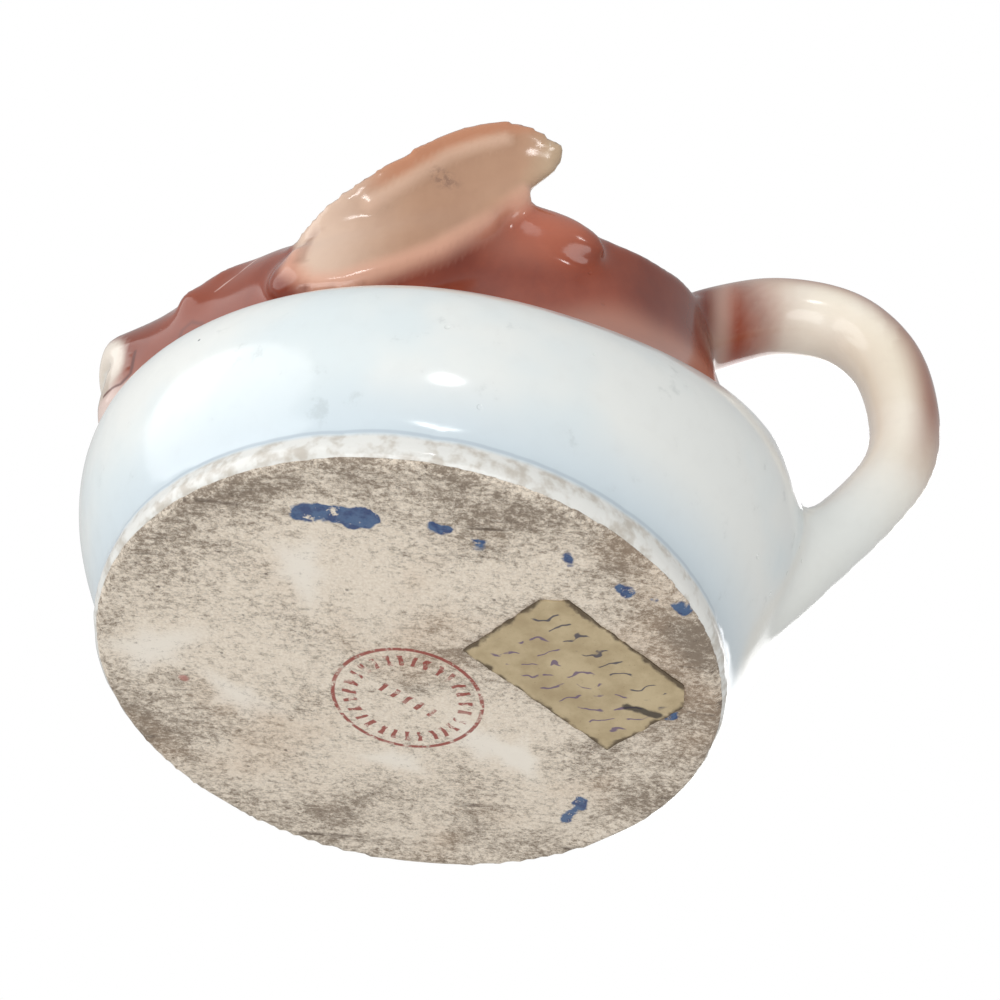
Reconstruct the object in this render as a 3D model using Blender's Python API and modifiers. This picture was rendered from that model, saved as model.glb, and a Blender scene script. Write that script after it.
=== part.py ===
"""A slip-cast, glazed pottery creamer in the shape of a resting long-eared animal.

The head and its long nose look along -X, the tail is the handle on +X, and the underside lies on Z = 0.
All sizes are in metres. The round bowl is the belly, and the ears flank the opening on top.
"""

import math

import bmesh
import bpy
import numpy as np
from mathutils import Matrix, Vector

MM = 0.001

# Foot: the flat oval that the creamer stands on
FOOT_LENGTH = 81 * MM
FOOT_WIDTH = 79.4 * MM
FOOT_HEIGHT = 3.8 * MM
FOOT_EDGE_RADIUS = 1.3 * MM
FOOT_CREASE = 1.1 * MM

# Bowl and neck: the hollow body from the foot to the rim
BOWL_FRONT = 50.5 * MM
BOWL_BACK = 51.5 * MM
BOWL_WIDTH = 89 * MM
RIM_HEIGHT = 87 * MM
RIM_SAG = 5 * MM
RIM_SAG_LENGTH = 38 * MM
RIM_SAG_CENTRE = 23 * MM
WALL = 3.8 * MM
FLOOR = 5 * MM

# Head
HEAD_LENGTH = 40 * MM
HEAD_WIDTH = 44 * MM
HEAD_HEIGHT = 38 * MM
HEAD_LOWEST = 47 * MM
NOSE_TIP = 60 * MM

# Ears
EAR_LENGTH = 41.5 * MM
EAR_HEIGHT = 41 * MM
EAR_ROOT_X = -28 * MM
EAR_LOWEST = 57 * MM
EAR_SPREAD = 68 * MM
EAR_THICKNESS = 4.4 * MM
EAR_HOLLOW = 4.2 * MM

# Handle: the tail
HANDLE_REACH = 70.5 * MM
HANDLE_TOP = 90.5 * MM
HANDLE_LOW = 20 * MM
HANDLE_THICKNESS = 10.6 * MM

# Paper label, stuck in a shallow place of its own under the foot
LABEL_LENGTH = 25 * MM
LABEL_WIDTH = 15.8 * MM
LABEL_THICKNESS = 0.25 * MM
LABEL_CENTRE = (22.2 * MM, -6.5 * MM)
LABEL_TURN = 43.5
LABEL_ABOVE_TABLE = 0.1 * MM
PIECE_GAP = 0.3 * MM

# Fineness of the faceted surface
VOXEL = 1.15 * MM
SOFTENING_PASSES = 7
KEPT_SHARE = 0.075
RING_POINTS = 72
LEVEL_STEP = 2.4 * MM

# Colours: red, green, blue, alpha
GLAZE_COLOUR = (0.62, 0.68, 0.72, 1)
PAPER_COLOUR = (0.58, 0.47, 0.29, 1)

# The body at its levels: share of the height above the foot, then shares of front, back and side reach
BODY_LEVELS = (
    (0.077, 0.870, 0.850, 0.955),
    (0.174, 0.955, 0.940, 1.000),
    (0.260, 0.995, 0.990, 0.992),
    (0.337, 1.000, 1.000, 0.914),
    (0.415, 0.980, 0.985, 0.809),
    (0.492, 0.930, 0.945, 0.657),
    (0.569, 0.880, 0.895, 0.556),
    (0.646, 0.825, 0.850, 0.506),
    (0.733, 0.780, 0.810, 0.484),
    (0.829, 0.745, 0.785, 0.486),
    (0.925, 0.725, 0.775, 0.506),
    (1.000, 0.715, 0.770, 0.532),
)

# The head from its root to its nose: share of its length, then shares for the height of its middle,
# its half height and its half width
HEAD_SECTIONS = (
    (0.00, 0.53, 0.52, 1.06),
    (0.24, 0.52, 0.51, 1.00),
    (0.43, 0.485, 0.485, 0.85),
    (0.60, 0.415, 0.415, 0.70),
    (0.75, 0.34, 0.32, 0.57),
    (0.87, 0.31, 0.235, 0.50),
    (0.95, 0.325, 0.160, 0.40),
    (1.00, 0.335, 0.070, 0.18),
)


def empty_scene():
    """Removes whatever the scene holds."""
    for thing in list(bpy.data.objects):
        bpy.data.objects.remove(thing, do_unlink=True)


def new_collection(name):
    """A collection linked to the scene."""
    made = bpy.data.collections.new(name)
    bpy.context.scene.collection.children.link(made)
    return made


def new_material(name, colour, roughness):
    """A Principled material of one colour."""
    material = bpy.data.materials.new(name)
    material.use_nodes = True
    shader = material.node_tree.nodes["Principled BSDF"]
    shader.inputs["Base Color"].default_value = colour
    shader.inputs["Roughness"].default_value = roughness
    shader.inputs["Metallic"].default_value = 0
    return material


def hide_cutter(thing):
    """Marks a helper shape that isn't part of the object."""
    thing.hide_render = True
    thing.display_type = "WIRE"
    return thing


def smooth_value(knots, values, at):
    """The value at one place on a smooth curve through values given at rising knots."""
    knots = np.array(knots, float)
    values = np.array(values, float)
    slopes = np.gradient(values, knots, axis=0)
    at = min(max(at, knots[0]), knots[-1])
    i = min(int(np.searchsorted(knots, at, side="right")) - 1, len(knots) - 2)
    step = knots[i + 1] - knots[i]
    t = (at - knots[i]) / step
    rise = t * t * (3 - 2 * t)
    leaving = t * (1 - t) ** 2 * step
    arriving = t * t * (t - 1) * step
    return values[i] * (1 - rise) + values[i + 1] * rise + slopes[i] * leaving + slopes[i + 1] * arriving


def add_loft(bm, rings):
    """Adds a closed body through rings of equally many points, each end closed by a fan."""
    rows = [[bm.verts.new(point) for point in ring] for ring in rings]
    count = len(rows[0])
    faces = []
    for low, high in zip(rows, rows[1:]):
        for i in range(count):
            j = (i + 1) % count
            faces.append(bm.faces.new((low[i], low[j], high[j], high[i])))
    for row in (rows[0], rows[-1]):
        middle = sum((vert.co for vert in row), Vector()) / count
        centre = bm.verts.new(middle)
        for i in range(count):
            faces.append(bm.faces.new((row[i], row[(i + 1) % count], centre)))
    bmesh.ops.recalc_face_normals(bm, faces=faces)


def add_lump(bm, centre, radii, tilt):
    """Adds an egg-shaped swelling, tilted about Y by some degrees."""
    ball = bmesh.ops.create_uvsphere(bm, u_segments=24, v_segments=14, radius=1)
    place = Matrix.Translation(centre) @ Matrix.Rotation(math.radians(tilt), 4, "Y")
    bmesh.ops.transform(bm, matrix=place @ Matrix.Diagonal((*radii, 1)), verts=ball["verts"])


def finish_mesh(bm, name, collection):
    """Turns what was modelled into an object of its own."""
    mesh = bpy.data.meshes.new(name)
    bm.to_mesh(mesh)
    bm.free()
    thing = bpy.data.objects.new(name, mesh)
    collection.objects.link(thing)
    return thing


def oval(front, back, side, height):
    """One level ring, longer or shorter before and behind the middle."""
    ring = []
    for i in range(RING_POINTS):
        turn = 2 * math.pi * i / RING_POINTS
        reach = back if math.cos(turn) > 0 else front
        ring.append((reach * math.cos(turn), side * math.sin(turn), height))
    return ring


def body_reach(height):
    """The body's front, back and side reach at a height above the table."""
    foot = (0, FOOT_LENGTH / 2 - FOOT_CREASE, FOOT_LENGTH / 2 - FOOT_CREASE, FOOT_WIDTH / 2 - FOOT_CREASE)
    knots = [foot[0]] + [level[0] for level in BODY_LEVELS]
    reaches = [foot[1:]]
    for _, front, back, side in BODY_LEVELS:
        reaches.append((front * BOWL_FRONT, back * BOWL_BACK, side * BOWL_WIDTH / 2))
    share = (height - FOOT_HEIGHT) / (RIM_HEIGHT - FOOT_HEIGHT)
    return smooth_value(knots, reaches, share)


def levels(low, high):
    """Evenly spaced heights from low to high."""
    count = max(2, math.ceil((high - low) / LEVEL_STEP))
    return [low + (high - low) * i / count for i in range(count + 1)]


def rim_height(x):
    """The rim's height at a place along the opening, lowest between the ears and the handle."""
    share = (x - RIM_SAG_CENTRE) / (RIM_SAG_LENGTH / 2)
    return RIM_HEIGHT - RIM_SAG * math.exp(-share ** 2)


def add_outer_body(bm):
    """Adds the bowl and neck as one solid, up to the sagging rim."""
    rings = []
    for height in levels(FOOT_HEIGHT, RIM_HEIGHT):
        share = (height - FOOT_HEIGHT) / (RIM_HEIGHT - FOOT_HEIGHT)
        ring = []
        for x, y, z in oval(*body_reach(height), height):
            ring.append((x, y, z - share * (RIM_HEIGHT - rim_height(x))))
        rings.append(ring)
    add_loft(bm, rings)


def add_foot(bm):
    """Adds the flat oval pad, rounded below and above."""
    rings = []
    steps = 4
    for i in range(steps + 1):
        turn = math.pi / 2 * i / steps
        inset = FOOT_EDGE_RADIUS * (1 - math.sin(turn))
        height = FOOT_EDGE_RADIUS * (1 - math.cos(turn))
        rings.append(oval(FOOT_LENGTH / 2 - inset, FOOT_LENGTH / 2 - inset, FOOT_WIDTH / 2 - inset, height))
    for i in range(steps + 1):
        turn = math.pi / 2 * i / steps
        inset = FOOT_CREASE * (1 - math.cos(turn))
        height = FOOT_HEIGHT - FOOT_CREASE * (1 - math.sin(turn))
        rings.append(oval(FOOT_LENGTH / 2 - inset, FOOT_LENGTH / 2 - inset, FOOT_WIDTH / 2 - inset, height))
    rings.append(oval(FOOT_LENGTH / 3, FOOT_LENGTH / 3, FOOT_WIDTH / 3, FOOT_HEIGHT + FOOT_CREASE))
    add_loft(bm, rings)


def head_rings(shrink, slimness):
    """Upright rings of the head from root to nose, smaller by shrink all round and slimmer by a share."""
    sections = np.array(HEAD_SECTIONS)
    root = -(NOSE_TIP - HEAD_LENGTH)
    rings = []
    steps = 18
    for k in range(steps + 1):
        share = math.sin(math.pi / 2 * k / steps)
        middle, half_height, half_width = smooth_value(sections[:, 0], sections[:, 1:], share)
        half_height = max(half_height * HEAD_HEIGHT - shrink, 0.2 * MM)
        half_width = max(half_width * slimness * HEAD_WIDTH / 2 - shrink, 0.2 * MM)
        x = root - share * (HEAD_LENGTH - shrink)
        ring = []
        for i in range(RING_POINTS // 2):
            turn = 4 * math.pi * i / RING_POINTS
            z = HEAD_LOWEST + middle * HEAD_HEIGHT + half_height * math.sin(turn)
            ring.append((x, half_width * math.cos(turn), z))
        rings.append(ring)
    return rings


def head_point(along, across, up):
    """A place on the head from shares: root to nose, middle to side, lowest to highest."""
    x = -(NOSE_TIP - HEAD_LENGTH) - along * HEAD_LENGTH
    return Vector((x, across * HEAD_WIDTH / 2, HEAD_LOWEST + up * HEAD_HEIGHT))


def head_surface(share, turn):
    """A place on the head's skin: a share of the way to the nose, and degrees up from its +Y side."""
    sections = np.array(HEAD_SECTIONS)
    middle, half_height, half_width = smooth_value(sections[:, 0], sections[:, 1:], share)
    up = middle + half_height * math.sin(math.radians(turn))
    return head_point(share, half_width * math.cos(math.radians(turn)), up)


def add_face(bm):
    """Adds the swellings of the face: nose, chin, eyes, brows, nostrils and the waves of the forelock."""
    size = HEAD_WIDTH / 2
    add_lump(bm, head_point(0.86, 0, 0.36), (0.28 * size, 0.50 * size, 0.25 * size), 20)
    add_lump(bm, head_point(0.80, 0, 0.10), (0.27 * size, 0.42 * size, 0.22 * size), 0)
    for side in (-1, 1):
        add_lump(bm, head_point(0.54, 0.70 * side, 0.43), (0.20 * size, 0.12 * size, 0.13 * size), -25)
        add_lump(bm, head_point(0.45, 0.70 * side, 0.61), (0.36 * size, 0.15 * size, 0.09 * size), -42)
        add_lump(bm, head_point(0.93, 0.34 * side, 0.38), (0.13 * size, 0.14 * size, 0.10 * size), 0)
    for k in range(3):
        for turn in range(50, 131, 10):
            place = head_surface(0.34 + 0.11 * k, turn)
            add_lump(bm, place, (0.105 * size, 0.15 * size, 0.060 * size), -42)


def make_mouth_cutter(collection):
    """The line between nose and chin."""
    size = HEAD_WIDTH / 2
    bm = bmesh.new()
    add_lump(bm, head_point(0.98, 0, 0.205), (0.30 * size, 0.75 * size, 0.075 * size), -12)
    return hide_cutter(finish_mesh(bm, "mouth", collection))


def ear_edges(share, side):
    """The ear's lower and upper edge, as two points, at a share of its length."""
    knots = (0.0, 0.12, 0.28, 0.48, 0.66, 0.84, 1.0)
    low_places = ((0.06, 0.30), (0.12, 0.06), (0.26, 0.00), (0.45, 0.11), (0.62, 0.26), (0.80, 0.50), (0.97, 0.72))
    high_places = ((0.02, 0.37), (0.06, 0.36), (0.20, 0.44), (0.42, 0.66), (0.63, 0.89), (0.84, 1.00), (1.04, 0.93))
    lower = smooth_value(knots, low_places, share)
    upper = smooth_value(knots, high_places, share)
    low_side = smooth_value((0, 0.5, 1), (0.66, 0.72, 0.78), share)
    high_side = smooth_value((0, 0.3, 0.7, 1), (0.74, 0.93, 1.00, 0.94), share)
    points = []
    for (along, up), out in ((lower, low_side), (upper, high_side)):
        x = EAR_ROOT_X + along * EAR_LENGTH
        z = EAR_LOWEST + up * EAR_HEIGHT
        points.append(Vector((x, side * out * EAR_SPREAD / 2, z)))
    return points


def add_ear(bm, side):
    """Adds a cupped blade from its root beside the brow to its round tip, open to the side."""
    rings = []
    steps = 22
    around = 28
    for k in range(steps + 1):
        share = (1 - math.cos(math.pi * k / steps)) / 2
        low, high = ear_edges(share, side)
        ends = math.sin(math.pi * min(max(share, 0.01), 0.99)) ** 0.35
        middle = (low + high) / 2
        half = (high - low) / 2 * (0.3 + 0.7 * ends)
        ahead = ear_edges(min(share + 0.02, 1), side)
        behind = ear_edges(max(share - 0.02, 0), side)
        along = (ahead[0] + ahead[1]) - (behind[0] + behind[1])
        outward = half.cross(along).normalized()
        if outward.y * side < 0:
            outward.negate()
        ring = []
        for i in range(around):
            turn = 2 * math.pi * i / around
            across = math.cos(turn)
            cup = EAR_HOLLOW * ends * (1 - across ** 2)
            skin = EAR_THICKNESS / 2 * (0.35 + 0.65 * ends) * math.sin(turn)
            ring.append(middle + half * across + outward * (skin - cup))
        rings.append(ring)
    add_loft(bm, rings)


def add_ear_bed(bm, side):
    """Adds the flesh behind an ear, which joins its back and its heel to the neck."""
    low, high = ear_edges(0.42, side)
    middle = low.lerp(high, 0.45)
    middle.y -= side * EAR_HOLLOW * 1.4
    radii = (0.50 * EAR_LENGTH, 1.15 * EAR_THICKNESS, 0.22 * EAR_HEIGHT)
    add_lump(bm, middle, radii, -38)
    low, high = ear_edges(1, side)
    heel = Vector((low.x - 0.01 * EAR_LENGTH, 0.82 * low.y, low.z - 0.17 * EAR_HEIGHT))
    add_lump(bm, heel, (0.28 * EAR_LENGTH, 0.80 * EAR_THICKNESS, 0.13 * EAR_HEIGHT), 12)


def handle_route():
    """Points and half thicknesses along the tail, from the rim round to the bowl."""
    rise = HANDLE_TOP - HANDLE_LOW
    start = 0.6 * BOWL_BACK
    span = HANDLE_REACH - start
    shares = (
        (0.00, 0.84, 1.30), (0.14, 0.90, 1.38), (0.32, 0.965, 1.36), (0.54, 1.01, 1.30), (0.80, 0.975, 1.24),
        (0.955, 0.84, 1.14), (0.99, 0.65, 1.06), (0.94, 0.46, 1.01), (0.78, 0.30, 0.98), (0.56, 0.15, 1.06),
        (0.36, 0.04, 1.30), (0.18, -0.03, 1.60),
    )
    return [((start + x * span, HANDLE_LOW + z * rise), thick * HANDLE_THICKNESS / 2) for x, z, thick in shares]


def add_handle(bm):
    """Adds the tail, a round bar that thickens where it joins the body."""
    route = handle_route()
    knots = list(range(len(route)))
    places = [point for point, _ in route]
    thicknesses = [thick for _, thick in route]
    rings = []
    steps = 4 * (len(route) - 1)
    around = 24
    for k in range(steps + 1):
        at = k * (len(route) - 1) / steps
        x, z = smooth_value(knots, places, at)
        thick = float(smooth_value(knots, thicknesses, at))
        ahead = smooth_value(knots, places, min(at + 0.05, knots[-1]))
        behind = smooth_value(knots, places, max(at - 0.05, 0))
        along = Vector((ahead[0] - behind[0], 0, ahead[1] - behind[1])).normalized()
        across = Vector((along.z, 0, -along.x))
        ring = []
        for i in range(around):
            turn = 2 * math.pi * i / around
            sideways = Vector((x, thick * math.sin(turn), z))
            ring.append(sideways + across * thick * math.cos(turn))
        rings.append(ring)
    add_loft(bm, rings)


def make_inside(collection):
    """The space inside the bowl and neck, open at the top."""
    top = 1.6 * RIM_HEIGHT
    rings = []
    corner = 6 * MM
    for height in levels(FLOOR, RIM_HEIGHT) + [top]:
        front, back, side = (reach - WALL for reach in body_reach(min(height, RIM_HEIGHT)))
        near = max(0.0, 1 - (height - FLOOR) / corner)
        inset = corner * (1 - math.sqrt(1 - near ** 2))
        rings.append(oval(front - inset, back - inset, side - inset, height))
    bm = bmesh.new()
    add_loft(bm, rings)
    return hide_cutter(finish_mesh(bm, "inside", collection))


def make_head_inside(collection):
    """The space inside the head, slimmer than the neck's so that no pocket is left beside it."""
    bm = bmesh.new()
    add_loft(bm, head_rings(WALL, 0.86))
    return hide_cutter(finish_mesh(bm, "inside_head", collection))


def make_slip(name, grow, thickness, collection):
    """A slip of paper with cut corners, larger by grow on every side, its lower face at 0."""
    length = LABEL_LENGTH / 2 + grow
    width = LABEL_WIDTH / 2 + grow
    corners = ((-1, -0.67), (-0.81, -1), (0.77, -1), (1, -0.64), (1, 1), (-1, 1))
    bm = bmesh.new()
    face = bm.faces.new([bm.verts.new((x * length, y * width, 0)) for x, y in corners])
    lifted = bmesh.ops.extrude_face_region(bm, geom=[face])
    top = [item for item in lifted["geom"] if isinstance(item, bmesh.types.BMVert)]
    bmesh.ops.translate(bm, vec=(0, 0, thickness), verts=top)
    bmesh.ops.recalc_face_normals(bm, faces=bm.faces)
    slip = finish_mesh(bm, name, collection)
    slip.rotation_euler = (0, 0, math.radians(LABEL_TURN))
    return slip


def add_boolean(thing, cutter, operation):
    """One cut or join by a helper shape."""
    step = thing.modifiers.new(f"{operation.lower()} {cutter.name}", "BOOLEAN")
    step.operation = operation
    step.object = cutter
    step.solver = "EXACT"


def add_softening(thing, voxel, passes):
    """Remakes the surface in even cells and rounds its corners, as slip and glaze do."""
    cells = thing.modifiers.new("even cells", "REMESH")
    cells.mode = "VOXEL"
    cells.voxel_size = voxel
    soft = thing.modifiers.new("soft glaze", "SMOOTH")
    soft.factor = 0.5
    soft.iterations = passes


def make_ceramic(collection, cutters, material):
    """The whole cast piece: body, foot, head, ears and handle run together in one, then hollowed out."""
    bm = bmesh.new()
    add_outer_body(bm)
    add_foot(bm)
    add_loft(bm, head_rings(0, 1))
    add_face(bm)
    for side in (-1, 1):
        add_ear_bed(bm, side)
        add_ear(bm, side)
    add_handle(bm)
    body = finish_mesh(bm, "creamer_body", collection)
    body.data.materials.append(material)
    add_softening(body, VOXEL, SOFTENING_PASSES)
    for cutter in (make_mouth_cutter(cutters), make_inside(cutters), make_head_inside(cutters)):
        add_boolean(body, cutter, "DIFFERENCE")
    add_softening(body, VOXEL, SOFTENING_PASSES // 3)
    fewer = body.modifiers.new("fewer facets", "DECIMATE")
    fewer.ratio = KEPT_SHARE
    return body


def make_ground_cutter(collection):
    """Everything below the table, which cuts the underside flat."""
    depth = 20 * MM
    bm = bmesh.new()
    bmesh.ops.create_cube(bm, size=1)
    bmesh.ops.scale(bm, vec=(4 * BOWL_BACK, 4 * BOWL_BACK, depth), verts=bm.verts)
    bmesh.ops.translate(bm, vec=(0, 0, -depth / 2), verts=bm.verts)
    return hide_cutter(finish_mesh(bm, "ground", collection))


def make_label(collection, cutters, body, material):
    """The paper label, and the shallow place for it in the foot."""
    label = make_slip("paper_label", 0, LABEL_THICKNESS, collection)
    label.data.materials.append(material)
    label.location = (*LABEL_CENTRE, LABEL_ABOVE_TABLE)
    below = 1 * MM
    depth = below + LABEL_ABOVE_TABLE + LABEL_THICKNESS + PIECE_GAP
    place = hide_cutter(make_slip("label_place", PIECE_GAP, depth, cutters))
    place.location = (*LABEL_CENTRE, -below)
    add_boolean(body, place, "DIFFERENCE")


def build():
    """Makes both pieces."""
    empty_scene()
    parts = new_collection("figural_creamer")
    cutters = new_collection("helper_shapes")
    glaze = new_material("glazed_ceramic", GLAZE_COLOUR, 0.08)
    paper = new_material("label_paper", PAPER_COLOUR, 0.8)
    body = make_ceramic(parts, cutters, glaze)
    add_boolean(body, make_ground_cutter(cutters), "DIFFERENCE")
    make_label(parts, cutters, body, paper)


build()
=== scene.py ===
"""The looks of a slip-cast, glazed pottery creamer in the shape of a resting long-eared animal.

The form is the solid's own, rebuilt from the same named sizes at a finer pitch, with the small
modelling of the face, the ears and the foot added. Masks worked out from that form steer the paint.
Sizes are in metres, the head looks along -X, and the underside rests on Z = 0.
"""

import functools
import math

import bmesh
import bpy
import numpy as np
from mathutils import Matrix, Vector


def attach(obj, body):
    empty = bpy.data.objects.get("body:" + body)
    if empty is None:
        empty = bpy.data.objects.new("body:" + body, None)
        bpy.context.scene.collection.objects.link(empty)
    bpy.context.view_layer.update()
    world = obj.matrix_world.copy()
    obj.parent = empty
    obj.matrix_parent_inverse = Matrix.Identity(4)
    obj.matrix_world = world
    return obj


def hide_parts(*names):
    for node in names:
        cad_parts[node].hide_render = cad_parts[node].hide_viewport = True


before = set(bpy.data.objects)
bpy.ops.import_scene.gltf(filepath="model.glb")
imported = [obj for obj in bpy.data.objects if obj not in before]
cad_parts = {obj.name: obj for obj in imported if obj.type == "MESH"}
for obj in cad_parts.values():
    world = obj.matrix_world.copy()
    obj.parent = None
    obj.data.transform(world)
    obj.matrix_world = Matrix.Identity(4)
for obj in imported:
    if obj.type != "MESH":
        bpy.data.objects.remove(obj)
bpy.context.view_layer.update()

MM = 0.001

# Foot: the flat oval that the creamer stands on
FOOT_LENGTH = 81 * MM
FOOT_WIDTH = 79.4 * MM
FOOT_HEIGHT = 3.8 * MM
FOOT_EDGE_RADIUS = 1.3 * MM
FOOT_CREASE = 1.1 * MM

# Bowl and neck: the hollow body from the foot to the rim
BOWL_FRONT = 50.5 * MM
BOWL_BACK = 51.5 * MM
BOWL_WIDTH = 89 * MM
RIM_HEIGHT = 87 * MM
RIM_SAG = 5 * MM
RIM_SAG_LENGTH = 38 * MM
RIM_SAG_CENTRE = 23 * MM
WALL = 3.8 * MM
FLOOR = 5 * MM

# Head
HEAD_LENGTH = 40 * MM
HEAD_WIDTH = 44 * MM
HEAD_HEIGHT = 38 * MM
HEAD_LOWEST = 47 * MM
NOSE_TIP = 60 * MM

# Ears
EAR_LENGTH = 41.5 * MM
EAR_HEIGHT = 41 * MM
EAR_ROOT_X = -28 * MM
EAR_LOWEST = 57 * MM
EAR_SPREAD = 68 * MM
EAR_THICKNESS = 4.4 * MM
EAR_HOLLOW = 4.2 * MM
EAR_LOW_EDGE = (
    (0.06, 0.30), (0.12, 0.06), (0.26, 0.00), (0.45, 0.11), (0.62, 0.26), (0.80, 0.50), (0.97, 0.72),
)
EAR_HIGH_EDGE = (
    (0.02, 0.37), (0.06, 0.36), (0.20, 0.44), (0.42, 0.66), (0.63, 0.89), (0.84, 1.00), (1.04, 0.93),
)

# Handle: the tail
HANDLE_REACH = 70.5 * MM
HANDLE_TOP = 90.5 * MM
HANDLE_LOW = 20 * MM
HANDLE_THICKNESS = 10.6 * MM

# Paper label, stuck under the foot
LABEL_LENGTH = 25 * MM
LABEL_WIDTH = 15.8 * MM
LABEL_THICKNESS = 0.25 * MM
LABEL_CENTRE = (22.2 * MM, -6.5 * MM)
LABEL_TURN = 43.5
LABEL_HEIGHT = 0.06 * MM
LABEL_CORNERS = ((-1, -0.67), (-0.81, -1), (0.77, -1), (1, -0.64), (1, 1), (-1, 1))

# Fineness of the surface
VOXEL = 1.0 * MM
SOFTENING_PASSES = 8
EVENING_SHARES = (0.5, -0.53)
EVENING_PASSES = 14
RING_POINTS = 144
LEVEL_STEP = 1.2 * MM

# Underside: the part that is flattened, and how far its middle lies above its edge
UNDERSIDE_DEPTH = 0.45 * MM
UNDERSIDE_LIFT = 0.32 * MM
UNDERSIDE_EDGE = 0.965
UNDERSIDE_INSIDE = 0.90

# Paint: where the brown begins, and the marks under the foot as x, y and radius in millimetres
BROWN_FROM = 41 * MM
STAMP_CENTRE = (0.2 * MM, 1.0 * MM)
STAMP_RADIUS = 9.6 * MM
STAMP_STROKES = 27
BLUE_MARKS = (
    (-9.4, -30.5, -2.6, -30.1, 1.5), (1.6, -30.0, 3.6, -29.6, 0.3), (5.4, -29.4, 6.3, -29.2, 0.9),
    (9.9, -27.1, 10.2, -26.9, 0.7), (20.2, -25.6, 20.4, -25.4, 0.8), (26.0, -21.4, 26.9, -20.8, 0.7),
    (30.0, -20.4, 30.3, -20.4, 0.4), (33.0, -19.5, 33.4, -19.1, 0.8), (22.8, 20.0, 22.5, 21.4, 0.9),
    (22.0, 22.0, 20.6, 24.5, 0.7), (32.8, 0.2, 33.6, 0.3, 0.7),
)
DIRTY_PLACES = (
    (-13.8, -33.6, 6), (-3.5, -37.3, 6), (9.4, -34.7, 7), (25.8, -26.4, 6), (34.6, -14.2, 5),
    (-34.5, 13.1, 6), (-12.6, 27.6, 8), (7.5, 26.0, 7), (30.7, 18.1, 7), (12.0, -10.0, 6), (24.0, 8.0, 5),
)
CLEAN_PLACES = (
    (-32.0, -5.5, 6), (9.4, 8.8, 5), (-10.9, -21.5, 5), (14.6, 11.3, 4), (-21.8, 3.2, 5), (-2.0, 14.0, 4),
)
SCRATCHES = (
    (-28.7, 0.0, 38.6, -0.6, 0.14), (-21.5, -31.5, -10.4, -29.9, 0.25), (13.0, -15.0, 22.0, -12.5, 0.2),
)
LABEL_ROWS = (4.2, 0.2, -4.0)

# Lines of the painted modelling, as places in millimetres on the +Y side, the same on the other side
EAR_RIM = (
    (-25.3, 25.4, 64.0), (-25.5, 25.1, 59.5), (-21.9, 24.3, 56.6), (-17.5, 24.1, 57.3), (-9.3, 24.8, 62.3),
    (-3.8, 25.0, 66.8), (4.3, 25.3, 77.0), (8.0, 26.0, 83.0),
)
EAR_RIDGE = (
    (-15.5, 28.7, 73.0), (-10.1, 30.1, 79.1), (-4.6, 31.2, 85.8), (0.0, 31.3, 89.6), (3.7, 31.1, 92.0),
)
EAR_CREASE = ((-24.1, 25.6, 60.5), (-24.3, 25.5, 66.6), (-22.9, 26.1, 68.6))
UNDER_EAR = (
    ((-22.6, 24.0, 55.6), (-23.1, 23.6, 53.6)), ((-18.6, 23.8, 55.8), (-19.2, 23.4, 53.8)),
    ((-14.0, 24.0, 57.2), (-13.6, 23.4, 55.0)),
)
SMUDGE = ((-6.6, 29.2, 82.2), (-3.8, 29.2, 81.2))
MOUTH_LINE = (
    (-55.4, 6.4, 50.0), (-54.5, 7.6, 50.0), (-52.5, 8.6, 50.6), (-51.3, 9.6, 52.3), (-51.2, 10.8, 55.6),
)
LID_LINE = (
    (-43.8, 13.9, 55.2), (-43.4, 14.4, 57.2), (-42.0, 15.2, 58.2), (-40.2, 15.6, 57.4), (-39.6, 15.9, 55.8),
)
LOCK_LINE = (
    (-39.4, 17.4, 63.4), (-38.2, 18.2, 65.1), (-36.4, 18.5, 67.0), (-35.1, 19.4, 69.5), (-33.6, 18.4, 73.5),
)

# What is raised or sunk in the surface: line, height and width in millimetres
RAISED_LINES = (
    (EAR_RIDGE, 0.55, 2.2), (EAR_RIM, 0.50, 2.4), (MOUTH_LINE, -0.35, 1.6),
    *((line, -0.35, 1.5) for line in UNDER_EAR),
)

# Coats of paint on the head and the ears, in order: mask, strength, and colour as seen on a screen
HEAD_COATS = (
    # the shade coat is painted shade at the back of the neck
    ("face", 0.35, (140, 84, 70)), ("blush", 0.45, (206, 154, 132)), ("shade", 0.7, (92, 36, 22)),
    # the next coat is pink paint and a painted highlight on the neck
    ("pink_and_painted_highlight", 0.40, (206, 132, 108)), ("chin", 0.85, (226, 208, 200)),
)
EAR_COATS = (
    ("ear_root", 0.8, (228, 202, 182)), ("ear_high_rim", 0.8, (196, 132, 98)),
    # the ridge coat is a painted highlight on the ear's inner ridge
    ("ear_tip", 0.75, (188, 168, 140)), ("ear_ridge_painted_highlight", 0.6, (240, 204, 180)),
    # the crease coat is painted shade in the fold at the ear's root
    # the rim coat is a painted highlight on the ear's lower rim
    ("ear_rim_painted_highlight", 0.85, (226, 172, 148)), ("ear_crease_painted_shade", 0.6, (132, 86, 66)),
)

# Stage: the floor, the surround and the lights, as name, place, size across and power
FLOOR_LEVEL = -0.6
FLOOR_RADIUS = 3
SURROUND_STRENGTH = 0.56
LIGHTS = (
    ("window", (0.06, -0.95, 0.08), 0.14, 0.7),
    ("left_fill", (-0.75, -0.45, 0.15), 0.90, 3.4),
    ("low_fill", (0.00, -0.45, -0.53), 0.70, 3.1),
    ("back", (0.3, 0.7, 0.5), 0.70, 2.4),
)

# Camera: elevation, azimuth and roll in degrees, then its distance from the foot and its sideways shift
CAMERA_TURNS = (-47.91, 7.51, 8.99)
CAMERA_DISTANCE = 158 * MM
CAMERA_SHIFT = (12.04 * MM, 24.84 * MM)
CAMERA_LENS = 45

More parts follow.
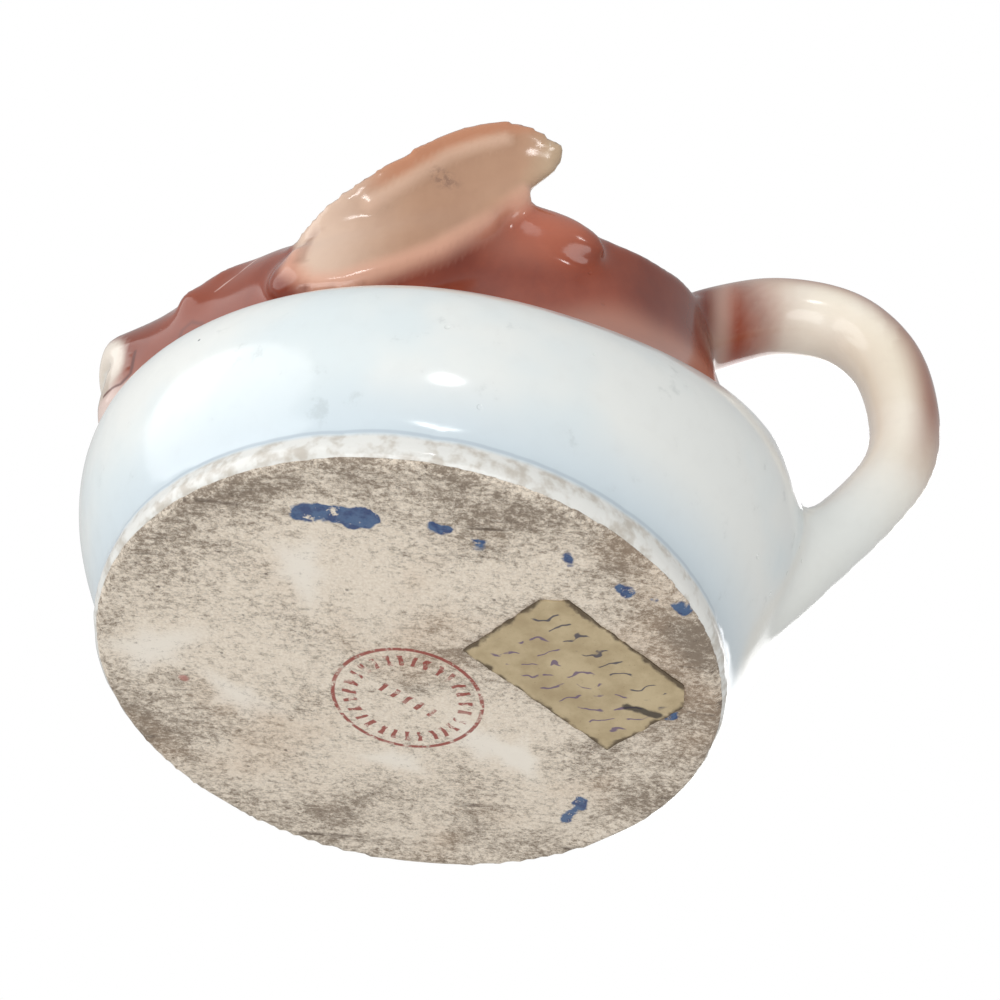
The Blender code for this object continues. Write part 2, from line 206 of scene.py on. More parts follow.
# The body at its levels: share of the height above the foot, then shares of front, back and side reach
BODY_LEVELS = (
    (0.077, 0.870, 0.850, 0.955),
    (0.174, 0.955, 0.940, 1.000),
    (0.260, 0.995, 0.990, 0.992),
    (0.337, 1.000, 1.000, 0.914),
    (0.415, 0.980, 0.985, 0.809),
    (0.492, 0.930, 0.945, 0.657),
    (0.569, 0.880, 0.895, 0.556),
    (0.646, 0.825, 0.850, 0.506),
    (0.733, 0.780, 0.810, 0.484),
    (0.829, 0.745, 0.785, 0.486),
    (0.925, 0.725, 0.775, 0.506),
    (1.000, 0.715, 0.770, 0.532),
)

# The head from its root to its nose: share of its length, then shares for the height of its middle,
# its half height and its half width
HEAD_SECTIONS = (
    (0.00, 0.53, 0.52, 1.06),
    (0.24, 0.52, 0.51, 1.00),
    (0.43, 0.485, 0.485, 0.85),
    (0.60, 0.415, 0.415, 0.70),
    (0.75, 0.34, 0.32, 0.57),
    (0.87, 0.31, 0.235, 0.50),
    (0.95, 0.325, 0.160, 0.40),
    (1.00, 0.335, 0.070, 0.18),
)


def smooth_value(knots, values, at):
    """The value at one place on a smooth curve through values given at rising knots."""
    knots = np.array(knots, float)
    values = np.array(values, float)
    slopes = np.gradient(values, knots, axis=0)
    at = min(max(at, knots[0]), knots[-1])
    i = min(int(np.searchsorted(knots, at, side="right")) - 1, len(knots) - 2)
    step = knots[i + 1] - knots[i]
    t = (at - knots[i]) / step
    rise = t * t * (3 - 2 * t)
    leaving = t * (1 - t) ** 2 * step
    arriving = t * t * (t - 1) * step
    return values[i] * (1 - rise) + values[i + 1] * rise + slopes[i] * leaving + slopes[i + 1] * arriving


def add_loft(bm, rings):
    """Adds a closed body through rings of equally many points, each end closed by a fan."""
    rows = [[bm.verts.new(point) for point in ring] for ring in rings]
    count = len(rows[0])
    faces = []
    for low, high in zip(rows, rows[1:]):
        for i in range(count):
            j = (i + 1) % count
            faces.append(bm.faces.new((low[i], low[j], high[j], high[i])))
    for row in (rows[0], rows[-1]):
        middle = sum((vert.co for vert in row), Vector()) / count
        centre = bm.verts.new(middle)
        for i in range(count):
            faces.append(bm.faces.new((row[i], row[(i + 1) % count], centre)))
    bmesh.ops.recalc_face_normals(bm, faces=faces)


def add_lump(bm, centre, radii, tilt):
    """Adds an egg-shaped swelling, tilted about Y by some degrees."""
    ball = bmesh.ops.create_uvsphere(bm, u_segments=24, v_segments=14, radius=1)
    place = Matrix.Translation(centre) @ Matrix.Rotation(math.radians(tilt), 4, "Y")
    bmesh.ops.transform(bm, matrix=place @ Matrix.Diagonal((*radii, 1)), verts=ball["verts"])


def oval(front, back, side, height):
    """One level ring, longer or shorter before and behind the middle."""
    ring = []
    for i in range(RING_POINTS):
        turn = 2 * math.pi * i / RING_POINTS
        reach = back if math.cos(turn) > 0 else front
        ring.append((reach * math.cos(turn), side * math.sin(turn), height))
    return ring


def body_reach(height):
    """The body's front, back and side reach at a height above the table."""
    foot = (0, FOOT_LENGTH / 2 - FOOT_CREASE, FOOT_LENGTH / 2 - FOOT_CREASE, FOOT_WIDTH / 2 - FOOT_CREASE)
    knots = [foot[0]] + [level[0] for level in BODY_LEVELS]
    reaches = [foot[1:]]
    for _, front, back, side in BODY_LEVELS:
        reaches.append((front * BOWL_FRONT, back * BOWL_BACK, side * BOWL_WIDTH / 2))
    share = (height - FOOT_HEIGHT) / (RIM_HEIGHT - FOOT_HEIGHT)
    return smooth_value(knots, reaches, share)


def levels(low, high):
    """Evenly spaced heights from low to high."""
    count = max(2, math.ceil((high - low) / LEVEL_STEP))
    return [low + (high - low) * i / count for i in range(count + 1)]


def rim_height(x):
    """The rim's height at a place along the opening, lowest between the ears and the handle."""
    share = (x - RIM_SAG_CENTRE) / (RIM_SAG_LENGTH / 2)
    return RIM_HEIGHT - RIM_SAG * math.exp(-share ** 2)


def add_outer_body(bm):
    """Adds the bowl and neck as one solid, up to the sagging rim."""
    rings = []
    for height in levels(FOOT_HEIGHT, RIM_HEIGHT):
        share = (height - FOOT_HEIGHT) / (RIM_HEIGHT - FOOT_HEIGHT)
        ring = []
        for x, y, z in oval(*body_reach(height), height):
            ring.append((x, y, z - share * (RIM_HEIGHT - rim_height(x))))
        rings.append(ring)
    add_loft(bm, rings)


def add_foot(bm):
    """Adds the flat oval pad, rounded below and above."""
    rings = []
    steps = 4
    for i in range(steps + 1):
        turn = math.pi / 2 * i / steps
        inset = FOOT_EDGE_RADIUS * (1 - math.sin(turn))
        height = FOOT_EDGE_RADIUS * (1 - math.cos(turn))
        rings.append(oval(FOOT_LENGTH / 2 - inset, FOOT_LENGTH / 2 - inset, FOOT_WIDTH / 2 - inset, height))
    for i in range(steps + 1):
        turn = math.pi / 2 * i / steps
        inset = FOOT_CREASE * (1 - math.cos(turn))
        height = FOOT_HEIGHT - FOOT_CREASE * (1 - math.sin(turn))
        rings.append(oval(FOOT_LENGTH / 2 - inset, FOOT_LENGTH / 2 - inset, FOOT_WIDTH / 2 - inset, height))
    rings.append(oval(FOOT_LENGTH / 3, FOOT_LENGTH / 3, FOOT_WIDTH / 3, FOOT_HEIGHT + FOOT_CREASE))
    add_loft(bm, rings)


def head_rings(shrink, slimness):
    """Upright rings of the head from root to nose, smaller by shrink all round and slimmer by a share."""
    sections = np.array(HEAD_SECTIONS)
    root = -(NOSE_TIP - HEAD_LENGTH)
    rings = []
    steps = 18
    for k in range(steps + 1):
        share = math.sin(math.pi / 2 * k / steps)
        middle, half_height, half_width = smooth_value(sections[:, 0], sections[:, 1:], share)
        half_height = max(half_height * HEAD_HEIGHT - shrink, 0.2 * MM)
        half_width = max(half_width * slimness * HEAD_WIDTH / 2 - shrink, 0.2 * MM)
        x = root - share * (HEAD_LENGTH - shrink)
        ring = []
        for i in range(RING_POINTS // 2):
            turn = 4 * math.pi * i / RING_POINTS
            z = HEAD_LOWEST + middle * HEAD_HEIGHT + half_height * math.sin(turn)
            ring.append((x, half_width * math.cos(turn), z))
        rings.append(ring)
    return rings


def head_point(along, across, up):
    """A place on the head from shares: root to nose, middle to side, lowest to highest."""
    x = -(NOSE_TIP - HEAD_LENGTH) - along * HEAD_LENGTH
    return Vector((x, across * HEAD_WIDTH / 2, HEAD_LOWEST + up * HEAD_HEIGHT))


def head_surface(share, turn):
    """A place on the head's skin: a share of the way to the nose, and degrees up from its +Y side."""
    sections = np.array(HEAD_SECTIONS)
    middle, half_height, half_width = smooth_value(sections[:, 0], sections[:, 1:], share)
    up = middle + half_height * math.sin(math.radians(turn))
    return head_point(share, half_width * math.cos(math.radians(turn)), up)


def add_face(bm):
    """Adds the swellings of the face: nose, chin, eyes, brows, nostrils and the waves of the forelock."""
    size = HEAD_WIDTH / 2
    add_lump(bm, head_point(0.86, 0, 0.34), (0.28 * size, 0.50 * size, 0.25 * size), 20)
    add_lump(bm, head_point(0.80, 0, 0.10), (0.27 * size, 0.42 * size, 0.22 * size), 0)
    for side in (-1, 1):
        add_lump(bm, head_point(0.54, 0.70 * side, 0.43), (0.20 * size, 0.12 * size, 0.13 * size), -25)
        add_lump(bm, head_point(0.45, 0.70 * side, 0.61), (0.36 * size, 0.15 * size, 0.09 * size), -42)
        add_lump(bm, head_point(0.91, 0.32 * side, 0.35), (0.13 * size, 0.14 * size, 0.10 * size), 0)
    for k in range(3):
        for turn in range(50, 131, 10):
            place = head_surface(0.34 + 0.11 * k, turn)
            add_lump(bm, place, (0.105 * size, 0.15 * size, 0.060 * size), -42)


def ear_edges(share, side):
    """The ear's lower and upper edge, as two points, at a share of its length."""
    knots = (0.0, 0.12, 0.28, 0.48, 0.66, 0.84, 1.0)
    lower = smooth_value(knots, EAR_LOW_EDGE, share)
    upper = smooth_value(knots, EAR_HIGH_EDGE, share)
    low_side = smooth_value((0, 0.5, 1), (0.66, 0.72, 0.78), share)
    high_side = smooth_value((0, 0.3, 0.7, 1), (0.74, 0.93, 1.00, 0.94), share)
    points = []
    for (along, up), out in ((lower, low_side), (upper, high_side)):
        x = EAR_ROOT_X + along * EAR_LENGTH
        z = EAR_LOWEST + up * EAR_HEIGHT
        points.append(Vector((x, side * out * EAR_SPREAD / 2, z)))
    return points


def add_ear(bm, side):
    """Adds a cupped blade from its root beside the brow to its round tip, open to the side."""
    rings = []
    steps = 22
    around = 28
    for k in range(steps + 1):
        share = (1 - math.cos(math.pi * k / steps)) / 2
        low, high = ear_edges(share, side)
        ends = math.sin(math.pi * min(max(share, 0.01), 0.99)) ** 0.35
        middle = (low + high) / 2
        half = (high - low) / 2 * (0.3 + 0.7 * ends)
        ahead = ear_edges(min(share + 0.02, 1), side)
        behind = ear_edges(max(share - 0.02, 0), side)
        along = (ahead[0] + ahead[1]) - (behind[0] + behind[1])
        outward = half.cross(along).normalized()
        if outward.y * side < 0:
            outward.negate()
        ring = []
        for i in range(around):
            turn = 2 * math.pi * i / around
            across = math.cos(turn)
            cup = EAR_HOLLOW * ends * (1 - across ** 2)
            rounding = math.copysign(abs(math.sin(turn)) ** 0.6, math.sin(turn))
            skin = EAR_THICKNESS / 2 * (0.35 + 0.65 * ends) * rounding
            ring.append(middle + half * across + outward * (skin - cup))
        rings.append(ring)
    add_loft(bm, rings)


def add_ear_bed(bm, side):
    """Adds the flesh behind an ear, which joins its back and its heel to the neck."""
    low, high = ear_edges(0.42, side)
    middle = low.lerp(high, 0.45)
    middle.y -= side * EAR_HOLLOW * 1.4
    radii = (0.50 * EAR_LENGTH, 1.15 * EAR_THICKNESS, 0.22 * EAR_HEIGHT)
    add_lump(bm, middle, radii, -38)
    low, high = ear_edges(1, side)
    heel = Vector((low.x - 0.01 * EAR_LENGTH, 0.82 * low.y, low.z - 0.17 * EAR_HEIGHT))
    add_lump(bm, heel, (0.28 * EAR_LENGTH, 0.70 * EAR_THICKNESS, 0.10 * EAR_HEIGHT), 32)


def handle_route():
    """Points and half thicknesses along the tail, from the rim round to the bowl."""
    rise = HANDLE_TOP - HANDLE_LOW
    start = 0.6 * BOWL_BACK
    span = HANDLE_REACH - start
    shares = (
        (0.00, 0.84, 1.30), (0.14, 0.90, 1.38), (0.32, 0.965, 1.36), (0.54, 1.01, 1.30), (0.80, 0.975, 1.24),
        (0.955, 0.84, 1.14), (0.99, 0.65, 1.06), (0.94, 0.46, 1.01), (0.78, 0.30, 0.98), (0.56, 0.15, 1.06),
        (0.36, 0.04, 1.30), (0.18, -0.03, 1.60),
    )
    half = HANDLE_THICKNESS / 2
    return [((start + x * span, HANDLE_LOW + z * rise), thick * half) for x, z, thick in shares]


def add_handle(bm):
    """Adds the tail, a round bar that thickens where it joins the body."""
    route = handle_route()
    knots = list(range(len(route)))
    places = [point for point, _ in route]
    thicknesses = [thick for _, thick in route]
    rings = []
    steps = 4 * (len(route) - 1)
    around = 24
    for k in range(steps + 1):
        at = k * (len(route) - 1) / steps
        x, z = smooth_value(knots, places, at)
        thick = float(smooth_value(knots, thicknesses, at))
        ahead = smooth_value(knots, places, min(at + 0.05, knots[-1]))
        behind = smooth_value(knots, places, max(at - 0.05, 0))
        along = Vector((ahead[0] - behind[0], 0, ahead[1] - behind[1])).normalized()
        across = Vector((along.z, 0, -along.x))
        ring = []
        for i in range(around):
            turn = 2 * math.pi * i / around
            sideways = Vector((x, thick * math.sin(turn), z))
            ring.append(sideways + across * thick * math.cos(turn))
        rings.append(ring)
    add_loft(bm, rings)


def add_fine_face(bm):
    """Adds the small modelling of the face: a lid over each eye."""
    size = HEAD_WIDTH / 2
    for side in (-1, 1):
        for k in range(9):
            turn = math.pi * (0.05 + 0.9 * k / 8)
            lid = head_point(0.54 - 0.075 * math.cos(turn), 0.735 * side, 0.42 + 0.065 * math.sin(turn))
            add_lump(bm, lid, (0.05 * size, 0.07 * size, 0.04 * size), 0)


def cut_fine_face(bm):
    """Adds, as cutters, the nostrils."""
    size = HEAD_WIDTH / 2
    for side in (-1, 1):
        add_lump(bm, head_point(0.965, 0.32 * side, 0.38), (0.10 * size, 0.055 * size, 0.05 * size), 20)


def modified(thing):
    """A new mesh of the thing with all its modifiers applied."""
    graph = bpy.context.evaluated_depsgraph_get()
    return bpy.data.meshes.new_from_object(thing.evaluated_get(graph))


def finish_mesh(bm, name):
    """Turns what was modelled into an object of its own."""
    mesh = bpy.data.meshes.new(name)
    bm.to_mesh(mesh)
    bm.free()
    thing = bpy.data.objects.new(name, mesh)
    bpy.context.scene.collection.objects.link(thing)
    return thing


def add_softening(thing, voxel, passes):
    """Remakes the surface in even cells and rounds its corners, as slip and glaze do."""
    cells = thing.modifiers.new("even cells", "REMESH")
    cells.mode = "VOXEL"
    cells.voxel_size = voxel
    soft = thing.modifiers.new("soft glaze", "SMOOTH")
    soft.factor = 0.5
    soft.iterations = passes


def add_cut(thing, cutter):
    """Cuts a helper shape out of the thing."""
    step = thing.modifiers.new(f"cut {cutter.name}", "BOOLEAN")
    step.operation = "DIFFERENCE"
    step.object = cutter
    step.solver = "EXACT"


def inside_cutters():
    """The spaces inside the body and inside the head, and the mouth's line."""
    rings = []
    corner = 6 * MM
    for height in levels(FLOOR, RIM_HEIGHT) + [1.6 * RIM_HEIGHT]:
        front, back, side = (reach - WALL for reach in body_reach(min(height, RIM_HEIGHT)))
        near = max(0.0, 1 - (height - FLOOR) / corner)
        inset = corner * (1 - math.sqrt(1 - near ** 2))
        rings.append(oval(front - inset, back - inset, side - inset, height))
    body = bmesh.new()
    add_loft(body, rings)
    head = bmesh.new()
    add_loft(head, head_rings(WALL, 0.86))
    size = HEAD_WIDTH / 2
    mouth = bmesh.new()
    add_lump(mouth, head_point(0.98, 0, 0.205), (0.30 * size, 0.75 * size, 0.075 * size), -12)
    cut_fine_face(mouth)
    return finish_mesh(body, "inside"), finish_mesh(head, "inside_head"), finish_mesh(mouth, "mouth")


def make_creamer():
    """The cast piece at a fine pitch, its underside flat and a little hollow inside its edge."""
    bm = bmesh.new()
    add_outer_body(bm)
    add_foot(bm)
    add_loft(bm, head_rings(0, 1))
    add_face(bm)
    add_fine_face(bm)
    for side in (-1, 1):
        add_ear_bed(bm, side)
        add_ear(bm, side)
    add_handle(bm)
    rough = finish_mesh(bm, "rough")
    add_softening(rough, VOXEL, SOFTENING_PASSES)
    cutters = inside_cutters()
    for cutter in cutters:
        add_cut(rough, cutter)
    add_softening(rough, VOXEL, SOFTENING_PASSES // 2)
    mesh = modified(rough)
    for helper in (rough, *cutters):
        bpy.data.objects.remove(helper)
    even_out(mesh)
    settle_underside(mesh)
    raise_lines(mesh)
    mesh.shade_smooth()
    creamer = bpy.data.objects.new("glazed_creamer", mesh)
    bpy.context.scene.collection.objects.link(creamer)
    return creamer


def points_of(mesh):
    """The mesh's vertices as an array, in metres."""
    flat = np.empty(3 * len(mesh.vertices))
    mesh.vertices.foreach_get("co", flat)
    return flat.reshape(-1, 3)


def smooth_step(low, high, at):
    """0 below low and 1 above high, smooth between; the other way round if low is above high."""
    share = np.clip((at - low) / (high - low), 0, 1)
    return share * share * (3 - 2 * share)


def settle_underside(mesh):
    """Flattens the underside, and lifts it by a hair inside the foot's edge, where it isn't worn."""
    points = points_of(mesh)
    low = points[:, 2] < UNDERSIDE_DEPTH
    reach = np.hypot(points[:, 0] / (FOOT_LENGTH / 2), points[:, 1] / (FOOT_WIDTH / 2))
    lift = UNDERSIDE_LIFT * smooth_step(UNDERSIDE_EDGE, UNDERSIDE_INSIDE, reach)
    flat = low & (reach < UNDERSIDE_EDGE)
    points[flat, 2] = lift[flat]
    points[:, 2] = np.maximum(points[:, 2], 0)
    mesh.vertices.foreach_set("co", points.ravel())
    mesh.update()


def near_line(points, line, width):
    """1 on a line of places in millimetres or its mirror image, falling to 0 at a width in metres."""
    mirrored = np.column_stack((points[:, 0], np.abs(points[:, 1]), points[:, 2]))
    nearest = np.full(len(points), np.inf)
    for first, second in zip(np.array(line) * MM, np.array(line[1:]) * MM):
        way = second - first
        share = np.clip(((mirrored - first) @ way) / (way @ way), 0, 1)
        nearest = np.minimum(nearest, np.linalg.norm(mirrored - first - share[:, None] * way, axis=1))
    return smooth_step(width, 0, nearest)


def raise_lines(mesh):
    """Raises the ridges of the ears a little, and sinks the lines of the mouth and under the ears."""
    points = points_of(mesh)
    flat = np.empty(3 * len(mesh.vertices))
    mesh.vertex_normals.foreach_get("vector", flat)
    lift = np.zeros(len(points))
    for line, height, width in RAISED_LINES:
        lift += height * MM * near_line(points, line, width * MM)
    points += flat.reshape(-1, 3) * lift[:, None]
    mesh.vertices.foreach_set("co", points.ravel())
    mesh.update()


def even_out(mesh):
    """Takes the small steps of the cells out of the surface, without shrinking it."""
    points = points_of(mesh)
    ends = np.empty(2 * len(mesh.edges), np.int32)
    mesh.edges.foreach_get("vertices", ends)
    first, second = ends.reshape(-1, 2).T
    total = len(points)
    neighbours = np.bincount(ends, minlength=total)[:, None]
    for share in EVENING_SHARES * EVENING_PASSES:
        sums = [np.bincount(first, points[second, k], total) + np.bincount(second, points[first, k], total)
                for k in range(3)]
        points += share * (np.column_stack(sums) / neighbours - points)
    mesh.vertices.foreach_set("co", points.ravel())
    mesh.update()


def route_places(count):
    """Many points along the tail: x, z, half thickness and share of the way."""
    route = handle_route()
    knots = list(range(len(route)))
    values = [(x, z, thick) for (x, z), thick in route]
    shares = np.linspace(0, 1, count)
    return np.array([(*smooth_value(knots, values, share * knots[-1]), share) for share in shares])


def tail_masks(points):
    """Where the tail is, how far along it, and how far out on its outer side."""
    places = route_places(160)
    gaps = np.hypot(points[:, None, 0] - places[None, :, 0], points[:, None, 2] - places[None, :, 1])
    nearest = gaps.argmin(axis=1)
    place = places[nearest]
    distance = np.hypot(gaps[np.arange(len(points)), nearest], points[:, 1])
    beyond = smooth_step(0.43 * BOWL_WIDTH, 0.50 * BOWL_WIDTH, points[:, 0])
    near = smooth_step(1.45, 1.05, distance / place[:, 2]) * beyond
    middle = np.array((0.62 * (HANDLE_REACH + BOWL_BACK) / 2 + 0.2 * BOWL_BACK, 0.62 * HANDLE_TOP))
    outward = place[:, :2] - middle
    outward /= np.linalg.norm(outward, axis=1)[:, None]
    offset = points[:, (0, 2)] - place[:, :2]
    out = (offset * outward).sum(axis=1) / place[:, 2]
    return near, place[:, 3], out


def ear_masks(points):
    """Where the cupped face of an ear is, and how far across it from its lower to its upper edge."""
    shares = np.linspace(0, 1, 60)
    edges = [ear_edges(share, 1) for share in shares]
    low = np.array([edge[0] for edge in edges])
    high = np.array([edge[1] for edge in edges])
    face = np.zeros(len(points))
    across = np.zeros(len(points))
    along = np.zeros(len(points))
    side = np.abs(points[:, 1])
    close = np.flatnonzero((points[:, 2] > 0.9 * EAR_LOWEST) & (side > 0.25 * EAR_SPREAD))
    for i in close:
        x, z = points[i, 0], points[i, 2]
        chord = high[:, (0, 2)] - low[:, (0, 2)]
        reach = np.array((x, z)) - low[:, (0, 2)]
        share = (reach * chord).sum(axis=1) / (chord ** 2).sum(axis=1)
        held = np.clip(share, 0, 1)[:, None]
        gap = np.linalg.norm(reach - held * chord, axis=1)
        k = int(gap.argmin())
        t = float(np.clip(share[k], 0, 1))
        y = low[k, 1] + t * (high[k, 1] - low[k, 1])
        cup = EAR_HOLLOW * (1 - (2 * t - 1) ** 2)
        depth = side[i] - (y - cup)
        edge = smooth_step(2.2 * MM, 0.3 * MM, gap[k])
        face[i] = edge * smooth_step(-0.9 * MM, 0.7 * MM, depth)
        across[i] = t
        along[i] = shares[k]
    return face, across, along


def inside_mask(points):
    """Where the surface belongs to the hollow of the body or of the head."""
    heights = np.linspace(FOOT_HEIGHT, RIM_HEIGHT, 80)
    reaches = np.array([body_reach(height) for height in heights])
    front, back, side = (np.interp(points[:, 2], heights, reaches[:, k]) for k in range(3))
    length = np.where(points[:, 0] > 0, back, front)
    share = np.hypot(points[:, 0] / length, points[:, 1] / side)
    radius = np.hypot(points[:, 0], points[:, 1])
    depth = radius / np.maximum(share, 1e-6) * (1 - share)
    body = smooth_step(0.35 * WALL, 0.75 * WALL, depth)
    sections = np.array(HEAD_SECTIONS)
    along = (-points[:, 0] - (NOSE_TIP - HEAD_LENGTH)) / HEAD_LENGTH
    middle, half_height, half_width = (np.interp(along, sections[:, 0], sections[:, k]) for k in (1, 2, 3))
    up = (points[:, 2] - HEAD_LOWEST - middle * HEAD_HEIGHT) / (half_height * HEAD_HEIGHT)
    out = points[:, 1] / (half_width * HEAD_WIDTH / 2)
    in_head = 1 - np.hypot(up, out)
    head = smooth_step(0.5 * WALL, 0.8 * WALL, in_head * half_width * HEAD_WIDTH / 2)
    head *= smooth_step(-0.6 * NOSE_TIP, -0.64 * NOSE_TIP, points[:, 0])
    return np.maximum(body, head) * smooth_step(0.5 * FLOOR, 0.8 * FLOOR, points[:, 2])


def blob(points, centre, radii, softness):
    """1 within an egg about a place and its mirror image, falling off smoothly beyond it."""
    mirrored = np.column_stack((points[:, 0], np.abs(points[:, 1]), points[:, 2]))
    share = np.linalg.norm((mirrored - np.array(centre)) / np.array(radii), axis=1)
    return smooth_step(1 + softness, 1 - softness, share)


def paint_masks(points):
    """The masks that steer the paint: name and strength at every vertex."""
    x, y, z = points.T
    ear, ear_across, ear_along = ear_masks(points)
    tail, tail_along, tail_out = tail_masks(points)
    level = BROWN_FROM + 6 * MM * smooth_step(-20 * MM, -44 * MM, x)
    level -= 3 * MM * smooth_step(30 * MM, 45 * MM, x)
    brown = smooth_step(level - 3 * MM, level + 4 * MM, z)
    behind = smooth_step(4 * MM, 26 * MM, x)
    blush = brown * smooth_step(56 * MM, 46 * MM, z - 14 * MM * behind) * (0.55 + 0.45 * behind)
    # painted shade: the brown is darkened towards the back and top of the neck, by the handle
    shade = smooth_step(14 * MM, 40 * MM, x) * smooth_step(60 * MM, 74 * MM, z)
    face = smooth_step(-26 * MM, -36 * MM, x)
    tip = blob(points, head_point(0.93, 0.28, 0.21), (5.2 * MM, 8 * MM, 5.6 * MM), 0.16)
    nose = blob(points, head_point(0.86, 0.3, 0.42), (9 * MM, 9 * MM, 4.5 * MM), 0.4)
    chin = blob(points, head_point(0.83, 0, 0.01), (9 * MM, 11 * MM, 4.5 * MM), 0.5)
    waves = np.zeros(len(points))
    for k in range(4):
        crest = head_surface(0.30 + 0.10 * k, 90)
        waves = np.maximum(waves, blob(points, crest, (3.6 * MM, 13 * MM, 4 * MM), 0.3))
    grime = np.zeros(len(points))
    for places, sign in ((DIRTY_PLACES, 0.20), (CLEAN_PLACES, -0.24)):
        for place_x, place_y, radius in places:
            angle = np.arctan2(y - place_y * MM, x - place_x * MM)
            ragged = 1 + 0.30 * np.sin(2 * angle + place_x) + 0.22 * np.sin(5 * angle + place_y)
            away = np.hypot(x - place_x * MM, y - place_y * MM) * ragged
            grime += sign * smooth_step(1.2 * radius * MM, 0.05 * radius * MM, away)
    return {
        "grime": grime,
        # painted highlight: a pale line along the raised ridge inside the ear's upper edge
        "ear_ridge_painted_highlight": near_line(points, EAR_RIDGE, 2.0 * MM),
        # painted highlight: a pale pink line along the raised lower rim of the ear
        "ear_rim_painted_highlight": near_line(points, EAR_RIM, 3.0 * MM),
        # painted shade: a darker line in the fold at the ear's root
        "ear_crease_painted_shade": near_line(points, EAR_CREASE, 1.4 * MM),
        "under_ear": np.max([near_line(points, line, 1.3 * MM) for line in UNDER_EAR], axis=0),
        "smudge": near_line(points, SMUDGE, 2.4 * MM),
        "inside": inside_mask(points),
        "brown": brown,
        "blush": blush,
        "shade": shade,
        "face": face * brown,
        "ear": ear,
        "ear_high_rim": ear * smooth_step(0.74, 0.86, ear_across) * smooth_step(0.30, 0.45, ear_along),
        "ear_root": ear * smooth_step(0.55, 0.15, ear_along),
        "ear_tip": ear * smooth_step(0.84, 0.97, ear_along),
        # pink paint below the ear's tip, lightened as a painted highlight of the glaze there
        "pink_and_painted_highlight": blob(points, (9 * MM, 24.5 * MM, 77 * MM), (11 * MM, 7 * MM, 7 * MM), 0.6),
        "tail": tail,
        "tail_root": tail * smooth_step(0.34, 0.14, tail_along),
        "tail_edge": tail * smooth_step(-0.25, 0.65, tail_out) * smooth_step(0.18, 0.32, tail_along)
        * smooth_step(0.72, 0.56, tail_along),
        "tail_foot": tail * smooth_step(0.62, 0.80, tail_along),
        "muzzle": tip,
        "nose": nose,
        "chin": chin,
        "forelock": waves * smooth_step(0.9 * level, level, z),
    }


def store_masks(mesh):
    """Keeps the masks on the mesh, for the glaze to read."""
    for name, values in paint_masks(points_of(mesh)).items():
        layer = mesh.attributes.new(name, "FLOAT", "POINT")
        layer.data.foreach_set("value", values.astype(np.float32))


